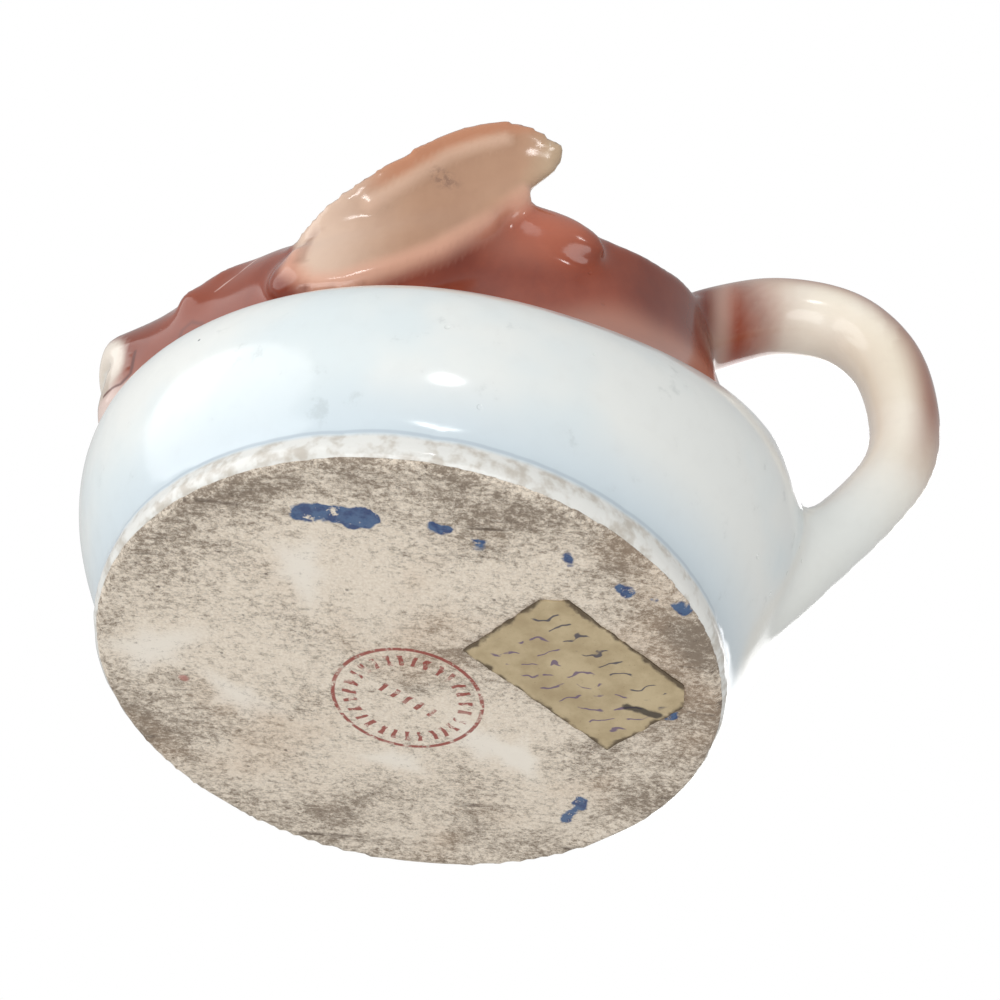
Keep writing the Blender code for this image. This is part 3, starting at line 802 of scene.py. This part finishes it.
class Paint:
    """A material's nodes, written as short sums."""

    def __init__(self, name):
        self.material = bpy.data.materials.new(name)
        self.material.use_nodes = True
        self.tree = self.material.node_tree
        self.shader = self.tree.nodes["Principled BSDF"]
        self.place = self.new("TexCoord").outputs["Object"]
        parts = self.new("SeparateXYZ", self.place)
        self.x, self.y, self.z = parts.outputs

    def new(self, kind, *inputs, **settings):
        """A node with its first inputs filled by sockets or values, in order."""
        node = self.tree.nodes.new("ShaderNode" + kind)
        for name, value in settings.items():
            setattr(node, name, value)
        for socket, value in zip(node.inputs, inputs):
            self.fill(socket, value)
        return node

    def fill(self, socket, value):
        """Links a socket to another, or sets its value."""
        if isinstance(value, bpy.types.NodeSocket):
            self.tree.links.new(value, socket)
        else:
            socket.default_value = value

    def sum(self, operation, *values):
        """One step of arithmetic."""
        return self.new("Math", *values, operation=operation).outputs[0]

    def vector(self, operation, *values):
        """One step of arithmetic with places."""
        return self.new("VectorMath", *values, operation=operation).outputs[0]

    def times(self, *values):
        """The product of all the values."""
        return functools.reduce(lambda first, second: self.sum("MULTIPLY", first, second), values)

    def plus(self, *values):
        """Two values added up."""
        return self.sum("ADD", *values)

    def minus(self, *values):
        """The first value less the second."""
        return self.sum("SUBTRACT", *values)

    def size(self, value):
        """The value without its sign."""
        return self.sum("ABSOLUTE", value)

    def over(self, below, strength, shade, *masks):
        """A coat of a shade over what lies below, as strong as its masks' product times a strength."""
        return self.mix(self.times(*masks, strength), below, shade)

    def step(self, value, low, high):
        """0 below low and 1 above high, smooth between."""
        node = self.new("MapRange", value, low, high, interpolation_type="SMOOTHSTEP")
        return node.outputs["Result"]

    def mask(self, name):
        """A mask kept on the mesh."""
        return self.new("Attribute", attribute_name=name).outputs["Fac"]

    def stretched(self, scale, turn=0):
        """The place on the object, stretched and turned about Z by some degrees."""
        node = self.new("Mapping", self.place)
        node.inputs["Scale"].default_value = scale
        node.inputs["Rotation"].default_value = (0, 0, math.radians(turn))
        return node.outputs["Vector"]

    def noise(self, scale, detail=4, roughness=0.55, at=None):
        """Cloudy noise about 0.5, scale in features a metre."""
        node = self.new("TexNoise")
        self.fill(node.inputs["Vector"], at or self.place)
        node.inputs["Scale"].default_value = scale
        node.inputs["Detail"].default_value = detail
        node.inputs["Roughness"].default_value = roughness
        return node.outputs["Fac"]

    def mix(self, factor, first, second):
        """The second colour over the first by a factor."""
        node = self.new("Mix", data_type="RGBA")
        self.fill(node.inputs["Factor"], factor)
        self.fill(node.inputs[6], first)
        self.fill(node.inputs[7], second)
        return node.outputs[2]

    def blend(self, factor, first, second):
        """The second value over the first by a factor."""
        node = self.new("Mix", data_type="FLOAT")
        self.fill(node.inputs["Factor"], factor)
        self.fill(node.inputs[2], first)
        self.fill(node.inputs[3], second)
        return node.outputs[0]

    def distance(self, place, at=None):
        """How far the surface is from a place, in metres."""
        node = self.new("VectorMath", at or self.place, place, operation="DISTANCE")
        return node.outputs["Value"]

    def shaken(self, scale, reach):
        """The place on the object, pushed about by cloudy noise up to a reach in metres."""
        noise = self.new("TexNoise")
        self.fill(noise.inputs["Vector"], self.place)
        noise.inputs["Scale"].default_value = scale
        noise.inputs["Detail"].default_value = 4
        push = self.new("VectorMath", self.vector("SUBTRACT", noise.outputs["Color"], (0.5, 0.5, 0.5)),
                        operation="SCALE")
        push.inputs["Scale"].default_value = reach
        return self.vector("ADD", self.place, push.outputs[0])

    def line(self, places, at):
        """How far a place is from a line through places, in metres."""
        nearest = None
        for first, second in zip(places, places[1:]):
            start = Vector(first)
            way = Vector(second) - start
            offset = self.vector("SUBTRACT", at, start)
            dot = self.new("VectorMath", offset, way, operation="DOT_PRODUCT").outputs["Value"]
            share = self.new("Math", dot, 1 / way.length_squared, operation="MULTIPLY", use_clamp=True)
            part = self.new("VectorMath", way, operation="SCALE")
            self.fill(part.inputs["Scale"], share.outputs[0])
            gap = self.distance(offset, part.outputs[0])
            nearest = self.sum("MINIMUM", nearest, gap) if nearest else gap
        return nearest

    def flat_line(self, x, y, to_x, to_y, at):
        """How far a place is from a line on the underside, given in millimetres."""
        return self.line(((x * MM, y * MM, 0), (to_x * MM, to_y * MM, 0)), at)

    def mirrored(self):
        """The place on the object, folded onto the +Y side and pressed flat sideways."""
        side = self.times(self.size(self.y), 0.4)
        return self.new("CombineXYZ", self.x, side, self.z).outputs[0]

    def stroke(self, line, width, softness):
        """1 on a painted line given in millimetres, on both sides of the object."""
        places = [(x * MM, 0.4 * y * MM, z * MM) for x, y, z in line]
        return self.step(self.line(places, self.mirrored()), width + softness, width - softness)

    def specks(self, cells, size, share):
        """Small round specks, a share of the cells of a grid of so many cells a metre."""
        node = self.new("TexVoronoi")
        self.fill(node.inputs["Vector"], self.place)
        node.inputs["Scale"].default_value = cells
        chosen = self.new("SeparateColor", node.outputs["Color"]).outputs[0]
        near = self.step(node.outputs["Distance"], size, 0.6 * size)
        return self.times(near, self.sum("LESS_THAN", chosen, share))

    def bump(self, height, depth):
        """Raises the surface by a height from 0 to 1 times a depth in metres."""
        node = self.new("Bump")
        node.inputs["Strength"].default_value = 1
        node.inputs["Distance"].default_value = depth
        self.fill(node.inputs["Height"], height)
        return node


def colour(red, green, blue):
    """A colour given as the 0 to 255 values seen on a screen."""
    linear = [((c / 255 + 0.055) / 1.055) ** 2.4 if c > 10 else c / 255 / 12.92 for c in (red, green, blue)]
    return (*linear, 1)


def glaze_colours(paint):
    """The airbrushed paint under the glaze, laid on coat by coat, some coats painted shade and highlights.
    """
    cloud = paint.noise(38, 3)
    fine = paint.noise(420, 3)
    streak = paint.noise(60, 5, 0.6, paint.stretched((1, 1, 0.45)))
    wisp = paint.step(streak, 0.3, 0.7)

    def coat(name, strength, shade, below):
        """One more coat where a mask is, over what lies below."""
        return paint.over(below, strength, shade, paint.mask(name))

    def drawn(line, width, softness, strength, shade, below):
        """One more painted line over what lies below."""
        return paint.over(below, strength, shade, paint.stroke(line, width, softness))

    rise = paint.step(paint.z, FOOT_HEIGHT, 13 * MM)
    pale = paint.mix(paint.step(cloud, 0.38, 0.62), colour(219, 228, 230), colour(231, 233, 230))
    now = paint.mix(rise, colour(205, 217, 224), pale)
    stain = paint.step(paint.noise(210, 5, 0.65), 0.62, 0.75)
    now = paint.over(now, 0.22, colour(150, 160, 160), stain)
    now = paint.over(now, 0.8, colour(70, 80, 88), paint.specks(300, 0.075, 0.10))
    wet = paint.plus(paint.mask("brown"), paint.times(paint.minus(cloud, 0.5), 0.5))
    deep = paint.mix(wisp, colour(150, 68, 42), colour(120, 48, 29))
    now = paint.mix(paint.step(wet, 0.15, 0.85), now, deep)
    for name, strength, shade in HEAD_COATS:
        now = coat(name, strength, colour(*shade), now)
    now = coat("ear", 1, paint.mix(wisp, colour(190, 150, 122), colour(174, 134, 108)), now)
    for name, strength, shade in EAR_COATS:
        now = coat(name, strength, colour(*shade), now)
    smudge = paint.times(paint.mask("smudge"), paint.step(paint.noise(900, 4, 0.7), 0.40, 0.62))
    now = paint.over(now, 0.8, colour(130, 100, 86), smudge)
    # painted highlight: a short near-white stroke on the ear's tip stands in for a glint of the glaze
    now = drawn(((11.0, 29.8, 93.6), (11.1, 29.7, 92.4)), 0.2 * MM, 0.12 * MM, 1, colour(244, 240, 232), now)
    now = coat("under_ear", 0.8, colour(104, 46, 34), now)
    cream = paint.mix(paint.step(cloud, 0.35, 0.65), colour(244, 236, 222), colour(236, 225, 206))
    now = coat("tail", 1, cream, now)
    now = coat("tail_foot", 0.85, colour(226, 230, 228), now)
    now = coat("tail_root", 1, deep, now)
    now = coat("tail_edge", 0.95, colour(146, 84, 60), now)
    now = coat("nose", 0.35, colour(132, 104, 98), now)
    # the muzzle's lower part is painted darker: painted shade on its underside
    now = coat("muzzle", 0.9, paint.mix(paint.step(paint.z, 50 * MM, 55 * MM), colour(190, 178, 164),
                                        colour(234, 226, 214)), now)
    now = drawn(MOUTH_LINE, 0.28 * MM, 0.22 * MM, 0.9, colour(92, 44, 36), now)
    now = drawn(LID_LINE, 0.30 * MM, 0.35 * MM, 0.6, colour(104, 58, 50), now)
    now = coat("forelock", 0.6, paint.mix(wisp, colour(120, 72, 60), colour(84, 56, 50)), now)
    # painted highlight: a thin pale line along the forelock's edge
    now = drawn(LOCK_LINE, 0.16 * MM, 0.14 * MM, 0.7, colour(232, 196, 186), now)
    now = coat("inside", 1, colour(228, 232, 230), now)
    foot = paint.step(paint.z, FOOT_HEIGHT + 0.2 * MM, FOOT_HEIGHT - 0.7 * MM)
    scuffed = paint.mix(paint.step(fine, 0.42, 0.66), colour(226, 226, 222), colour(196, 190, 180))
    now = paint.mix(foot, now, scuffed)
    # painted shade: the crease where the foot meets the bowl is darkened
    off_crease = paint.size(paint.minus(paint.z, FOOT_HEIGHT + 0.3 * MM))
    crease = paint.step(off_crease, 0.42 * MM, 0.1 * MM)
    now = paint.over(now, 0.35, colour(150, 164, 178), crease)
    return paint.mix(paint.times(paint.minus(fine, 0.5), 0.10), now, colour(120, 96, 84))


def biscuit_colours(paint):
    """The bare underside: off-white clay with years of dirt, blue drips and a red ink stamp."""
    grain = paint.noise(2600, 3, 0.7)
    dust = paint.noise(1500, 6, 0.85, paint.stretched((0.7, 1, 1), 8))
    patch = paint.noise(70, 4, 0.6, paint.stretched((0.6, 1, 1), -6))
    clay = paint.mix(paint.step(grain, 0.3, 0.7), colour(238, 227, 212), colour(222, 208, 190))
    reach = paint.sum("DIVIDE", paint.distance((0, 0, 0)), FOOT_WIDTH / 2)
    grime = paint.plus(patch, paint.times(paint.step(reach, 0.55, 1.0), 0.16))
    grime = paint.plus(grime, paint.mask("grime"))
    clay = paint.mix(paint.step(paint.mask("grime"), -0.02, -0.26), clay, colour(238, 230, 218))
    much = paint.step(paint.plus(dust, paint.times(grime, 0.42)), 0.66, 0.90)
    now = paint.mix(paint.times(much, 0.88), clay, colour(114, 98, 82))
    crumbs = paint.step(paint.noise(760, 5, 0.75, paint.stretched((0.8, 1, 1), 20)), 0.60, 0.68)
    crumbs = paint.times(crumbs, paint.step(grime, 0.30, 0.75))
    now = paint.over(now, 0.75, colour(82, 68, 56), crumbs)
    warm = paint.step(paint.noise(45, 3), 0.5, 0.7)
    now = paint.over(now, 0.18, colour(196, 156, 118), warm)
    lines = paint.noise(300, 5, 0.7, paint.stretched((0.10, 1, 1), 8))
    dark_lines = paint.times(paint.step(lines, 0.60, 0.70), paint.step(grime, 0.40, 0.75))
    now = paint.over(now, 0.8, colour(84, 71, 60), dark_lines)
    pits = paint.specks(520, 0.14, 0.12)
    now = paint.over(now, 0.6, colour(86, 72, 62), pits)
    rough = paint.shaken(500, 1.1 * MM)
    for x, y, to_x, to_y, width in SCRATCHES:
        way = paint.flat_line(x, y, to_x, to_y, rough)
        scratch = paint.step(way, 2 * width * MM, 0.6 * width * MM)
        now = paint.over(now, 0.6, colour(88, 74, 62), scratch)
    dot = paint.step(paint.distance((-28.8 * MM, 0, 0), rough), 1.0 * MM, 0.5 * MM)
    now = paint.over(now, 0.7, colour(176, 104, 96), dot)
    smear = paint.step(paint.flat_line(29.2, -0.6, 31.8, 0.1, rough), 0.7 * MM, 0.4 * MM)
    now = paint.over(now, 0.8, colour(44, 42, 46), smear)
    now = paint.mix(stamp_mask(paint), now, colour(146, 58, 50))
    blue = paint.mix(paint.step(paint.noise(700, 3), 0.4, 0.6), colour(24, 60, 112), colour(60, 94, 136))
    return paint.mix(blue_mask(paint), now, blue)


def stamp_mask(paint):
    """A worn ring of ink strokes round a ring line, which are no letters."""
    away = paint.distance((*STAMP_CENTRE, 0))
    x = paint.minus(paint.x, STAMP_CENTRE[0])
    y = paint.minus(paint.y, STAMP_CENTRE[1])
    turn = paint.sum("ARCTAN2", y, x)
    off_line = paint.size(paint.minus(away, STAMP_RADIUS))
    line = paint.step(off_line, 0.34 * MM, 0.18 * MM)
    off_row = paint.size(paint.minus(away, 0.78 * STAMP_RADIUS))
    row = paint.step(off_row, 1.05 * MM, 0.80 * MM)
    jumble = paint.times(paint.noise(420, 2), 3.0)
    beat = paint.size(paint.sum("SINE", paint.plus(paint.times(turn, STAMP_STROKES / 2), jumble)))
    strokes = paint.times(row, paint.step(beat, 0.80, 0.90))
    slant = paint.plus(paint.times(x, 0.80), paint.times(y, 0.60))
    off_slant = paint.minus(paint.times(y, 0.80), paint.times(x, 0.60))
    middle = paint.step(paint.size(off_slant), 1.0 * MM, 0.8 * MM)
    middle = paint.times(middle, paint.step(paint.size(slant), 5.2 * MM, 4.8 * MM))
    tick = paint.sum("SINE", paint.plus(paint.times(slant, 3.4 / MM), jumble))
    strokes = paint.sum("MAXIMUM", strokes, paint.times(middle, paint.step(tick, 0.35, 0.6)))
    worn = paint.step(paint.noise(800, 4, 0.7), 0.34, 0.50)
    gone = paint.step(paint.noise(95, 2), 0.33, 0.43)
    ink = paint.sum("MAXIMUM", line, strokes)
    return paint.times(paint.times(ink, worn), paint.times(gone, 0.9))


def blue_mask(paint):
    """Splashes and drips of the blue glaze."""
    at = paint.shaken(420, 2.6 * MM)
    nearest = None
    for x, y, to_x, to_y, radius in BLUE_MARKS:
        way = paint.flat_line(x, y, to_x, to_y, at)
        gap = paint.minus(way, radius * MM)
        nearest = paint.sum("MINIMUM", nearest, gap) if nearest else gap
    thin = paint.step(paint.noise(900, 5, 0.7), 0.34, 0.42)
    return paint.times(paint.times(paint.step(nearest, 0.2 * MM, -0.15 * MM), 0.95), thin)


def ceramic_material():
    """Painted, glossy glaze all over, and bare clay under the foot."""
    paint = Paint("painted glaze and bare clay")
    under = paint.step(paint.z, 0.75 * MM, 0.45 * MM)
    ragged = paint.times(paint.minus(paint.noise(300, 4), 0.5), 0.25)
    bare = paint.step(paint.plus(under, ragged), 0.4, 0.6)
    bare = paint.times(bare, paint.step(paint.mask("inside"), 0.5, 0.1))
    now = paint.mix(bare, glaze_colours(paint), biscuit_colours(paint))
    paint.fill(paint.shader.inputs["Base Color"], now)
    splash = paint.times(bare, paint.minus(1.0, blue_mask(paint)))
    gloss = paint.blend(paint.step(paint.noise(160, 4), 0.35, 0.7), 0.12, 0.19)
    paint.fill(paint.shader.inputs["Roughness"], paint.blend(splash, gloss, 0.82))
    paint.shader.inputs["IOR"].default_value = 1.52
    ripple = paint.noise(150, 2)
    grain = paint.noise(1800, 5, 0.7)
    height = paint.blend(bare, paint.times(ripple, 0.35), grain)
    pits = paint.times(paint.specks(420, 0.16, 0.05), 0.5)
    paint.fill(paint.shader.inputs["Normal"], paint.bump(paint.minus(height, pits), 0.12 * MM).outputs[0])
    return paint.material


def make_label():
    """The aged paper slip: worn corners and torn edges, stuck to the clay."""
    length = LABEL_LENGTH / 2
    width = LABEL_WIDTH / 2
    corners = [Vector((x * length, y * width)) for x, y in LABEL_CORNERS]
    outline = []
    for first, second in zip(corners, corners[1:] + corners[:1]):
        count = max(2, round((second - first).length / (0.45 * MM)))
        for i in range(count):
            outline.append(first.lerp(second, i / count))
    random = np.random.default_rng(7)
    torn = random.normal(0, 1, len(outline))
    torn = (torn + np.roll(torn, 1) + np.roll(torn, 2)) / 3 * 0.16 * MM
    bm = bmesh.new()
    ring = []
    for point, shift in zip(outline, torn):
        away = point.normalized()
        ring.append(bm.verts.new((point.x + away.x * shift, point.y + away.y * shift, 0)))
    face = bm.faces.new(ring)
    bmesh.ops.triangulate(bm, faces=[face])
    lifted = bmesh.ops.extrude_face_region(bm, geom=bm.faces[:])
    top = [item for item in lifted["geom"] if isinstance(item, bmesh.types.BMVert)]
    bmesh.ops.translate(bm, vec=(0, 0, LABEL_THICKNESS - 0.03 * MM), verts=top)
    bmesh.ops.recalc_face_normals(bm, faces=bm.faces)
    label = finish_mesh(bm, "aged_paper_label")
    place = Matrix.Translation((*LABEL_CENTRE, LABEL_HEIGHT))
    label.data.transform(place @ Matrix.Rotation(math.radians(LABEL_TURN), 4, "Z"))
    return label


def label_material():
    """Tan, foxed paper with dark worn edges and faded pen strokes that are no letters."""
    paint = Paint("aged label paper")
    flat = paint.new("VectorRotate", paint.vector("SUBTRACT", paint.place, (*LABEL_CENTRE, 0)),
                     rotation_type="Z_AXIS")
    flat.inputs["Angle"].default_value = -math.radians(LABEL_TURN)
    parts = paint.new("SeparateXYZ", flat.outputs[0])
    along, across = parts.outputs[0], parts.outputs[1]
    cloud = paint.noise(160, 5, 0.6)
    fibre = paint.noise(2400, 4, 0.7)
    now = paint.mix(paint.step(cloud, 0.35, 0.68), colour(196, 178, 144), colour(172, 153, 120))
    now = paint.over(now, 0.35, colour(120, 100, 74), paint.step(fibre, 0.60, 0.72))
    edge_x = paint.minus(LABEL_LENGTH / 2, paint.size(along))
    edge_y = paint.minus(LABEL_WIDTH / 2, paint.size(across))
    edge = paint.sum("MINIMUM", edge_x, edge_y)
    worn = paint.plus(edge, paint.times(paint.minus(paint.noise(420, 5), 0.5), 3 * MM))
    now = paint.over(now, 0.85, colour(66, 52, 40), paint.step(worn, 0.7 * MM, 0.0))
    ink = None
    jumble = paint.times(paint.noise(260, 2), 6.0)
    for row in LABEL_ROWS:
        off_row = paint.size(paint.minus(across, row * MM))
        band = paint.step(off_row, 1.6 * MM, 1.3 * MM)
        lean = paint.plus(paint.times(along, 1.15 / MM), paint.times(across, 0.7 / MM))
        swing = paint.size(paint.sum("SINE", paint.plus(lean, paint.plus(jumble, row))))
        stroke = paint.times(band, paint.step(swing, 0.30, 0.14))
        ink = paint.sum("MAXIMUM", ink, stroke) if ink else stroke
    broken = paint.step(paint.noise(300, 3, 0.5), 0.40, 0.46)
    margin = paint.step(edge, 1.2 * MM, 2.0 * MM)
    ink = paint.times(paint.times(ink, broken), paint.times(margin, 0.8))
    pen = paint.mix(paint.step(across, -2.4 * MM, -1.8 * MM), colour(44, 50, 78), colour(96, 78, 116))
    now = paint.mix(ink, now, pen)
    way = paint.flat_line(28.0, -1.0, 31.8, 0.1, paint.shaken(500, 1.1 * MM))
    smear = paint.step(way, 0.8 * MM, 0.4 * MM)
    now = paint.over(now, 0.85, colour(40, 38, 42), smear)
    paint.fill(paint.shader.inputs["Base Color"], now)
    paint.fill(paint.shader.inputs["Roughness"], paint.blend(cloud, 0.75, 0.95))
    paint.fill(paint.shader.inputs["Normal"], paint.bump(fibre, 0.05 * MM).outputs[0])
    return paint.material


def plain_material(name, shade, roughness):
    """A plain, pale material for the stage."""
    material = bpy.data.materials.new(name)
    material.use_nodes = True
    shader = material.node_tree.nodes["Principled BSDF"]
    shader.inputs["Base Color"].default_value = (*shade, 1)
    shader.inputs["Roughness"].default_value = roughness
    return material


def make_stage():
    """A pale floor well below the creamer, which the photograph shows from underneath."""
    middle = (0, 0, FLOOR_LEVEL)
    bpy.ops.mesh.primitive_circle_add(vertices=96, radius=FLOOR_RADIUS, fill_type="NGON", location=middle)
    floor = bpy.context.object
    floor.name = "pale_floor"
    floor.data.materials.append(plain_material("pale floor", (0.82, 0.82, 0.81), 0.7))


def add_light(name, place, size, power):
    """A soft round light that faces the creamer."""
    lamp = bpy.data.lights.new(name, "AREA")
    lamp.shape = "DISK"
    lamp.size = size
    lamp.energy = power
    light = bpy.data.objects.new(name, lamp)
    light.location = place
    aim = Vector((0, 0, RIM_HEIGHT / 2)) - Vector(place)
    light.rotation_euler = aim.to_track_quat("-Z", "Y").to_euler()
    bpy.context.scene.collection.objects.link(light)


def make_world():
    """A white surround that lights softly and shows white."""
    world = bpy.data.worlds.new("white surround")
    bpy.context.scene.world = world
    world.use_nodes = True
    nodes = world.node_tree.nodes
    links = world.node_tree.links
    backdrop = nodes["Background"]
    backdrop.inputs["Color"].default_value = (1, 1, 1, 1)
    backdrop.inputs["Strength"].default_value = 1
    soft = nodes.new("ShaderNodeBackground")
    soft.inputs["Color"].default_value = (1, 1, 1, 1)
    soft.inputs["Strength"].default_value = SURROUND_STRENGTH
    path = nodes.new("ShaderNodeLightPath")
    both = nodes.new("ShaderNodeMixShader")
    links.new(path.outputs["Is Camera Ray"], both.inputs[0])
    links.new(soft.outputs[0], both.inputs[1])
    links.new(backdrop.outputs[0], both.inputs[2])
    links.new(both.outputs[0], nodes["World Output"].inputs["Surface"])


def make_camera():
    """The photograph's camera: low, close and looking up at the underside."""
    elevation, azimuth, roll = (math.radians(turn) for turn in CAMERA_TURNS)
    back = Vector((math.sin(azimuth) * math.cos(elevation), -math.cos(azimuth) * math.cos(elevation),
                   math.sin(elevation)))
    right = Vector((0, 0, 1)).cross(back).normalized()
    up = back.cross(right)
    across = math.cos(roll) * right + math.sin(roll) * up
    upward = -math.sin(roll) * right + math.cos(roll) * up
    place = across * CAMERA_SHIFT[0] + upward * CAMERA_SHIFT[1] + back * CAMERA_DISTANCE
    camera = bpy.data.objects.new("camera", bpy.data.cameras.new("camera"))
    camera.matrix_world = Matrix.Translation(place) @ Matrix((across, upward, back)).transposed().to_4x4()
    camera.data.lens = CAMERA_LENS
    camera.data.sensor_width = 36
    camera.data.clip_start = 5 * MM
    bpy.context.scene.collection.objects.link(camera)
    bpy.context.scene.camera = camera


creamer = make_creamer()
store_masks(creamer.data)
creamer.data.materials.append(ceramic_material())
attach(creamer, "root")
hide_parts("creamer_body")

label = make_label()
label.data.materials.append(label_material())
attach(label, "root")
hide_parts("paper_label")

make_stage()
make_world()
bpy.context.scene.view_settings.view_transform = "Standard"
for name, place, size, power in LIGHTS:
    add_light(name, place, size, power)
make_camera()
